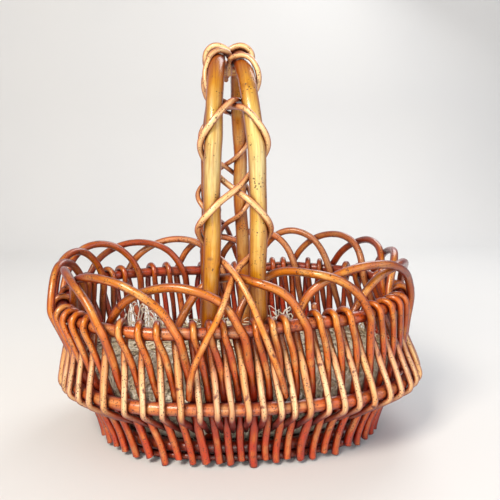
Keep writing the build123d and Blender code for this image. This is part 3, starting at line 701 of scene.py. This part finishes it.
for name, node, *measures in rings:
    addPiece(name, [rodSkin(*hoopRoute(*measures), tubes["hoop"])], hoopWillow, node)
for side, name, node in ((-1, "handleRodLeft", "handle_rod_left"), (1, "handleRodRight", "handle_rod_right")):
    addPiece(name, [rodSkin(*handleRoute(side), tubes["handle"])], handleWillow, node)
laces = [
    ("frontLacingLeft", "front_lacing_left", -1, 1), ("frontLacingRight", "front_lacing_right", 1, 1),
    ("backLacingLeft", "back_lacing_left", -1, -1), ("backLacingRight", "back_lacing_right", 1, -1),
]
for name, node, side, face in laces:
    addPiece(name, [rodSkin(*lacingRoute(side, face), tubes["lacing"])], lacingWillow, node)
addPiece("handleTopBinding", [rodSkin(*bindingRoute(), tubes["lacing"])], bindingWillow,
         "handle_top_binding")
print("basket: hoops, handle and lacing made")

# floor rods and cross rods stand where the solids are
flooring = {
    "rods": 13, "size": 8.0, "height": 14.4, "endRoom": 1.2, "crossSize": 10.0, "crossHeight": 5.0,
    "crossPitch": 95.0, "crossRoom": 1.0, "through": 0.7165, "overhang": 3.4, "gap": 0.4,
}


def baseReach(away, length, width):
    # half the length of a superellipse at a distance from its long axis: a * (1 - |2y/b|^n)^(1/n)
    n = wall["squareness"]
    return length / 2 * (1 - abs(2 * away / width) ** n) ** (1 / n)


def straightRod(start, end, size):
    # four corners at even steps from start to end
    return rodSkin(np.linspace(start, end, 4), np.full(4, size), tubes["floor"])


baseLength, baseWidth = wall["lengths"][0], wall["widths"][0]
inset = hoops["base"] / 2 + flooring["gap"]
pitch = (baseWidth - 2 * inset - flooring["size"]) / flooring["rods"]
skins = []
for step in range(flooring["rods"]):
    y, z = (step - (flooring["rods"] - 1) / 2) * pitch, flooring["height"]
    reach = baseReach(abs(y) + flooring["size"] / 2, baseLength - 2 * inset, baseWidth - 2 * inset)
    reach, middle = reach - flooring["endRoom"], wall["shifts"][0]
    skins.append(straightRod([middle - reach, y, z], [middle + reach, y, z], flooring["size"]))
addPiece("floorRods", skins, floorWillow, "floor_rods")
skins = []
inset = hoops["foot"] / 2 + flooring["gap"]
through = wallPoint(flooring["through"], hoops["footHeight"], 0.0)[0]
for step in (-1, 0, 1):
    x, z = through + step * flooring["crossPitch"], flooring["crossHeight"]
    edge = abs(x - wall["shifts"][0]) + flooring["crossSize"] / 2
    reach = baseReach(edge, baseWidth - 2 * inset, baseLength - 2 * inset) - flooring["crossRoom"]
    front = baseWidth / 2 + flooring["overhang"] if step == 0 else reach
    skins.append(straightRod([x, reach, z], [x, -front, z], flooring["crossSize"]))
addPiece("crossRods", skins, floorWillow, "base_cross_rods")

# loose shredded paper: a crumpled mound with strips lying on it, and curls that stand up
filling = {
    "bottom": 18.8, "top": 88.0, "levels": [0.0, 0.45, 0.78, 0.91, 0.975, 1.0],
    "insets": [15.1, 16.7, 17.3, 23.8, 43.2, 75.6], "crownRise": 2.0, "crownFrom": 0.8, "peak": 1.0,
    "around": 260, "sideRows": 30, "crownRows": 22, "crownEnd": 1.97,
    "folds": ((5.0, 1.0), (9.0, 1.3), (23.0, 1.6)), "waves": (2, 2.3, 1.7), "foldDepth": 0.5,
    "lift": (-3.5, 2.2), "sink": 0.6, "tone": 0.8, "stripTop": 101.0, "stripInset": 11.5,
}


def moundPoint(turn, share, lift):
    # share 0 to 1 climbs the mound's side, 1 to 2 runs in over its crown to the middle
    level = np.clip(share, 0, 1)
    height = filling["bottom"] + (filling["top"] - filling["bottom"]) * level
    rim = wallPoint(turn, height, -np.interp(level, filling["levels"], filling["insets"]))
    inward = np.clip(share - 1, 0, 1)[..., None]
    point = rim * (1 - inward * [1, 1, 0]) + [0, 0, 1] * (filling["crownRise"] * np.sin(inward * np.pi / 2))
    outward = wallPoint(turn, height, 1.0) - wallPoint(turn, height, 0.0)
    tilt = np.clip((level - filling["crownFrom"]) / (1 - filling["crownFrom"]), 0, 1)[..., None]
    normal = unit(outward * (1 - tilt) + np.array([0, 0, 1.0]) * tilt)
    return point + normal * np.asarray(lift)[..., None]


def crumple(x, y, z):
    # ridged sines at three scales stand in for folded paper: the sum of amount * (1 - |wave|)
    total = 0
    first, second, third = filling["waves"]
    for scale, amount in filling["folds"]:
        a, b, c = random.uniform(0, 6, 3)
        wave = np.sin(x / scale * first + a + np.sin(y / scale + b))
        wave = wave + np.sin(y / scale * second + c + np.sin(z / scale * third + a))
        total = total + amount * (1 - np.abs(wave))
    return total * filling["foldDepth"]


def crumpledMound():
    # closed skin: rings that climb the side and run in over the crown, with one point below and one on top
    climb = np.concatenate([np.linspace(0, 1, filling["sideRows"]),
                            np.linspace(1, filling["crownEnd"], filling["crownRows"])])
    rows, around = len(climb), filling["around"]
    shares, turns = np.meshgrid(climb, np.arange(around) / around, indexing="ij")
    base = moundPoint(turns, shares, 0.0)
    lift = np.clip(crumple(base[..., 0], base[..., 1], base[..., 2]), *filling["lift"]) - filling["sink"]
    ends = [[0, 0, filling["bottom"]], [0, 0, filling["top"] + filling["peak"]]]
    verts = np.vstack([moundPoint(turns, shares, lift).reshape(-1, 3), ends])
    return {"verts": verts, "quads": tubeFaces(rows, around), "tris": capFaces(rows, around),
            "tone": np.full(len(verts), filling["tone"])}


# sizes of the paper's patterns in millimetres, and the colours they bring; the crevice colour is painted shade
paperMarks = {
    "fibre": 1.2, "stain": 30, "fleck": 2.4, "stainColour": "F4ECDA", "fleckColour": "8C7550",
    "fleckLimits": (0.34, 0.46), "fleckDepths": (0.5, 0.0), "creviceReach": 4, "creviceColour": "A07A50",
    "creviceLimits": (0.1, 0.7), "creviceDepths": (0.35, 0.0), "bump": 0.3, "bumpHeight": 0.2,
}


def shreddedPaper(name, colour, shade):
    # uncoated paper cut in strips: matt, with fine fibres, faint stains and painted tan shade between the strips
    material, tree = startMaterial(name)
    tone = addNode(tree, "Attribute", None, {"attribute_name": "tone"}).outputs["Fac"]
    where = addNode(tree, "TexCoord").outputs["Object"]
    fibre, stain, fleck = [
        addNode(tree, "TexNoise", {
            "Vector": where, "Scale": 1 / (paperMarks[key] * mm), "Detail": detail}).outputs["Fac"]
        for key, detail in (("fibre", 3), ("stain", 2), ("fleck", 4))]
    # painted shade: the paper darkens to tan where ambient occlusion finds the gaps between strips
    crevice = addNode(tree, "AmbientOcclusion", {
        "Distance": paperMarks["creviceReach"] * mm}, {"samples": 6}).outputs["AO"]
    base = tint(tree, "MIX", linearColour(shade), colour, tone)
    base = tint(tree, "MULTIPLY", base, paperMarks["stainColour"], stain)
    base = tint(tree, "MULTIPLY", base, paperMarks["fleckColour"], fleck,
                paperMarks["fleckLimits"], paperMarks["fleckDepths"])
    base = tint(tree, "MULTIPLY", base, paperMarks["creviceColour"], crevice,
                paperMarks["creviceLimits"], paperMarks["creviceDepths"])
    bump = addNode(tree, "Bump", {
        "Strength": paperMarks["bump"], "Distance": paperMarks["bumpHeight"] * mm, "Height": fibre}).outputs["Normal"]
    finishSurface(tree, {"Base Color": base, "Roughness": 0.85, "IOR": 1.45, "Normal": bump})
    return material


ribbon = {"straight": 0.05, "folds": (2.0, 5.0), "lean": 0.6}


def ribbons(centres, normals, look):
    # paper strips: a line that winds over the surface in zigzag folds, with half the width to each side
    count = len(centres)
    steps = look["segments"] + 1
    s = np.linspace(-0.5, 0.5, steps)[None, :]
    length = random.uniform(*look["length"], (count, 1))
    width = random.uniform(*look["width"], (count, 1))
    ahead = unit(np.cross(normals, random.normal(size=(count, 3))))
    sideways = np.cross(normals, ahead)
    turn = random.uniform(-1, 1, (count, 1)) * look["curl"]
    bent = np.where(np.abs(turn) < ribbon["straight"], ribbon["straight"], turn)
    swerve = np.sin(turn * s * 2) / bent / 2 * length
    drift = (1 - np.cos(turn * s * 2)) / bent / 2 * length
    folds = random.uniform(*ribbon["folds"], (count, 1))
    phase = random.uniform(0, fullTurn, (count, 1))
    rise = look["crimp"] * np.abs((s * folds + phase) % 1.0 * 2 - 1) + random.uniform(0, look["stack"], (count, 1))
    rise = rise - look["droop"] * (2 * s) ** 2
    line = (centres[:, None] + ahead[:, None] * swerve[..., None] + sideways[:, None] * drift[..., None]
            + normals[:, None] * rise[..., None])
    heading = unit(np.gradient(line, axis=1))
    across = unit(np.cross(heading, np.broadcast_to(normals[:, None], heading.shape)))
    twist = random.uniform(-ribbon["lean"], ribbon["lean"], (count, 1))
    twist = twist + look["twist"] * s * random.uniform(-1, 1, (count, 1))
    lifted = np.cross(across, heading)
    across = across * np.cos(twist)[..., None] + lifted * np.sin(twist)[..., None]
    half = (width / 2)[..., None]
    sides = np.stack([line - across * half, line + across * half], 2)
    start = np.arange(count)[:, None] * steps * 2
    k = np.arange(steps - 1)[None, :] * 2
    quads = np.stack([start + k, start + k + 1, start + k + 3, start + k + 2], -1).reshape(-1, 4)
    tone = np.repeat(random.uniform(0, 1, count), steps * 2)
    return {"verts": sides.reshape(-1, 3), "quads": quads, "tris": np.zeros((0, 3), int), "tone": tone}


strips = {
    "top": {"segments": 16, "length": (40, 105), "width": (1.4, 2.6), "curl": 2.6, "crimp": 2.0, "stack": 4.5,
            "droop": 2.0, "twist": 1.6},
    "side": {"segments": 12, "length": (24, 60), "width": (1.2, 2.2), "curl": 2.4, "crimp": 1.4, "stack": 2.2,
             "droop": 0.8, "twist": 1.2},
}
# three layers of strips: how many, the range that a number is drawn from, and how it becomes a share of the mound
layers = [
    {"form": "top", "count": 900, "range": (0, 1), "lift": 0.5,
     "share": lambda drawn: 1.0 + 0.9 * (1 - np.sqrt(drawn))},
    {"form": "top", "count": 1500, "range": (18.0, 75.0), "lift": 0.0,
     "share": lambda drawn: np.interp(drawn, filling["insets"], filling["levels"])},
    {"form": "side", "count": 1500, "range": (0.12, 0.95), "lift": 0.0, "share": lambda drawn: drawn},
]
fillSkins = [crumpledMound()]
for layer in layers:
    turns = random.uniform(0, 1, layer["count"])
    shares = layer["share"](random.uniform(*layer["range"], layer["count"]))
    centres = moundPoint(turns, shares, layer["lift"])
    outward = moundPoint(turns, shares, layer["lift"] + 1) - centres
    fillSkins.append(ribbons(centres, outward, strips[layer["form"]]))
# strips stay inside the wall and above the floor rods
for skin in fillSkins[1:]:
    verts = skin["verts"]
    level = np.clip(verts[:, 2], filling["bottom"], filling["stripTop"])
    length, width, shift = [np.interp(level, wall["levels"], wall[key]) for key in ("lengths", "widths", "shifts")]
    angle = np.arctan2(verts[:, 1] / width, (verts[:, 0] - shift) / length)
    edge = wallPoint(angle / fullTurn, level, -filling["stripInset"])
    radius, limit = np.hypot(verts[:, 0], verts[:, 1]), np.hypot(edge[:, 0], edge[:, 1])
    shrink = np.minimum(1, limit / np.maximum(radius, 1e-6))
    verts[:, :2] *= shrink[:, None]
    verts[:, 2] = level
creamPaper = shreddedPaper("shreddedPaperCream", "FFFCF2", "E2D6B8")
addPiece("shreddedPaper", fillSkins, creamPaper, "shredded_fill")

# loose white curls that spring up from the paper: patches of thin strips, each one arched over random points
curls = {
    "width": 1.9, "thickness": 0.24, "step": 1.5, "below": 3.0, "climb": [0, 0.6, 1.0, 0.7, 0.9, 0.0],
    "patches": [
        {"middle": (-122, 56), "spread": (22, 14), "count": 14, "rise": (30, 60), "swing": 13},
        {"middle": (66, 62), "spread": (20, 12), "count": 8, "rise": (26, 46), "swing": 11},
        {"middle": (-112, -58), "spread": (30, 18), "count": 8, "rise": (12, 30), "swing": 12},
        {"middle": (10, 0), "spread": (110, 55), "count": 16, "rise": (8, 22), "swing": 14},
    ],
}
curlLines = []
for patch in curls["patches"]:
    for _ in range(patch["count"]):
        foot = np.array(patch["middle"]) + random.uniform(-1, 1, 2) * patch["spread"]
        steps = foot + random.uniform(-1, 1, (6, 2)) * patch["swing"]
        climb = np.array(curls["climb"]) * random.uniform(*patch["rise"])
        curlLines.append(np.column_stack([steps, filling["top"] - curls["below"] + climb]))


def curlSkin(points):
    # flat closed band: the smooth line with half the width to each side and half the thickness up and down
    middle, size, run = smoothLine(points, np.full(len(points), curls["width"]), curls["step"])
    heading = unit(np.gradient(middle, axis=0))
    across = unit(np.cross(heading, random.normal(size=3)))
    up = np.cross(heading, across) * curls["thickness"] / 2
    half = across * size[:, None] / 2
    ring = np.stack([middle - half - up, middle + half - up, middle + half + up, middle - half + up], 1)
    rows = len(run)
    quads = np.vstack([tubeFaces(rows, 4), [[3, 2, 1, 0]], rows * 4 - 4 + np.arange(4)[None]])
    return {"verts": ring.reshape(-1, 3), "quads": quads, "tris": np.zeros((0, 3), int),
            "tone": np.full(rows * 4, 1.0)}


whitePaper = shreddedPaper("shreddedPaperWhite", "F4EEE8", "E6DCD2")
addPiece("looseCurls", [curlSkin(points) for points in curlLines], whitePaper)
print("basket: filling made")

# a thin grey splice rod lies on the back rim, and a split stub stands above the front one
splice = {"turns": (0.155, 0.262), "corners": 12, "above": 5.6, "out": -5.8, "sizes": (3.2, 2.2)}
turns = np.linspace(*splice["turns"], splice["corners"])
route = wallPoint(turns, rimLevel(turns) + splice["above"], splice["out"])
addPiece("rimSpliceRod", [rodSkin(route, np.linspace(*splice["sizes"], splice["corners"]), tubes["lacing"])],
         greyWillow)
stub = {
    "route": [(72.0, -121.0, 150.0), (71.0, -119.5, 159.0), (70.0, -118.0, 167.0), (69.0, -117.0, 175.0)],
    "sizes": [2.6, 3.6, 6.2, 5.0], "tube": {**tubes["lacing"], "slant": (0.8, 1.0)},
}
addPiece("splitStub", [rodSkin(np.array(stub["route"]), np.array(stub["sizes"]), stub["tube"])],
         handleWillow)

# small round nail heads hold some hooks to the rim hoop, low on its outer side
nails = {
    "near": [0.57, 0.602, 0.633, 0.664, 0.71, 0.733, 0.79, 0.812, 0.838, 0.871, 0.903, 0.931, 0.16, 0.34, 0.44],
    "share": 0.36, "below": 2.2, "size": 2.3, "reaches": (-0.9, -0.3, 0.2, 0.55),
    "tube": {**tubes["lacing"], "step": 0.4, "sides": 12, "stray": 0.0, "budEvery": 999.0},
}
nailed = np.searchsorted(stations, nails["near"])
nailSkins = []
for turn in stations[nailed] + nails["share"] * pitches[nailed]:
    head = [wallPoint(turn, rimLevel(turn) - nails["below"], hoops["rim"] / 2 + reach) for reach in nails["reaches"]]
    nailSkins.append(rodSkin(np.array(head), np.full(len(head), nails["size"]), nails["tube"]))
# zinc-plated nail: small hard glint, slightly dulled
nailZinc, nailTree = startMaterial("zincNail")
finishSurface(nailTree, {"Base Color": linearColour("B9B4AC"), "Metallic": 1.0, "Roughness": 0.38})
addPiece("rimNails", nailSkins, nailZinc)
print("basket: splice, stub and nails made")

# floor and wall of the studio: one sheet that bends up at the back, in metres
sweep = {"front": -2.2, "back": 1.7, "bend": 0.5, "height": 2.4, "half": 3.2, "level": -0.0005,
         "mottle": 3.0, "colours": ("D9DADB", "DEDEDD")}
arc = np.linspace(0, np.pi / 2, 24)
bendStart = sweep["back"] - sweep["bend"]
profileY = np.concatenate([[sweep["front"]], bendStart + sweep["bend"] * np.sin(arc), [sweep["back"]]])
profileZ = np.concatenate([[0], sweep["bend"] * (1 - np.cos(arc)), [sweep["height"]]]) + sweep["level"]
rows = len(profileY)
sheet = np.stack([np.tile([-sweep["half"], sweep["half"]], rows), np.repeat(profileY, 2), np.repeat(profileZ, 2)], -1)
faces = [(2 * k, 2 * k + 1, 2 * k + 3, 2 * k + 2) for k in range(rows - 1)]
sweepMesh = bpy.data.meshes.new("studioSweep")
sweepMesh.from_pydata(sheet.tolist(), [], faces)
sweepMesh.polygons.foreach_set("use_smooth", np.ones(len(faces), bool))
studioSweep = bpy.data.objects.new("studioSweep", sweepMesh)
bpy.context.scene.collection.objects.link(studioSweep)
# matt painted board: even pale grey with a faint mottle, so the willow keeps all the colour
board, boardTree = startMaterial("paintedBoard")
boardWhere = addNode(boardTree, "TexCoord").outputs["Object"]
mottle = addNode(boardTree, "TexNoise", {
    "Vector": boardWhere, "Scale": sweep["mottle"], "Detail": 2}).outputs["Fac"]
boardColour = tint(boardTree, "MIX", linearColour(sweep["colours"][0]), sweep["colours"][1], mottle)
finishSurface(boardTree, {"Base Color": boardColour, "Roughness": 0.8})
sweepMesh.materials.append(board)

# soft key from the upper left front, wide fill from the right, low lift from the front, and even sky light
lamps = {
    "key": {"at": (-1.05, -1.35, 1.75), "size": 0.8, "power": 54.0, "colour": "FFF4E6"},
    "front": {"at": (0.0, -1.9, 0.42), "size": 1.0, "power": 11.0, "colour": "FFF8EE"},
    "fill": {"at": (1.6, -1.1, 0.9), "size": 1.6, "power": 15.0, "colour": "EAF1FF"},
    "rear": {"at": (0.7, 1.1, 1.5), "size": 1.0, "power": 14.0, "colour": "FFFFFF"},
}
lampAim = np.array([0, 0, 0.17])
air = {"colour": "F2F4F8", "strength": 0.37}
for name, lamp in lamps.items():
    data = bpy.data.lights.new(name + "Lamp", "AREA")
    data.size = lamp["size"]
    data.energy = lamp["power"]
    data.color = linearColour(lamp["colour"])[:3]
    light = bpy.data.objects.new(name + "Lamp", data)
    light.location = lamp["at"]
    aim = lampAim - np.array(lamp["at"])
    light.rotation_euler = (math.atan2(math.hypot(aim[0], aim[1]), -aim[2]), 0, math.atan2(-aim[0], aim[1]))
    bpy.context.scene.collection.objects.link(light)
world = bpy.data.worlds.new("studioAir")
world.use_nodes = True
world.node_tree.nodes["Background"].inputs["Color"].default_value = linearColour(air["colour"])
world.node_tree.nodes["Background"].inputs["Strength"].default_value = air["strength"]
bpy.context.scene.world = world
bpy.context.scene.view_settings.view_transform = "Standard"

# the photograph's camera, fitted to the basket's ovals and handle
view = {"lens": 42.43, "sensor": 36.0, "at": (-0.0475, -0.6917, 0.330), "down": 0.170, "turn": -0.089}
camera = bpy.data.cameras.new("photoCamera")
camera.sensor_width = view["sensor"]
camera.lens = view["lens"]
viewer = bpy.data.objects.new("photoCamera", camera)
viewer.location = view["at"]
viewer.rotation_euler = (math.pi / 2 - view["down"], 0, view["turn"])
bpy.context.scene.collection.objects.link(viewer)
bpy.context.scene.camera = viewer
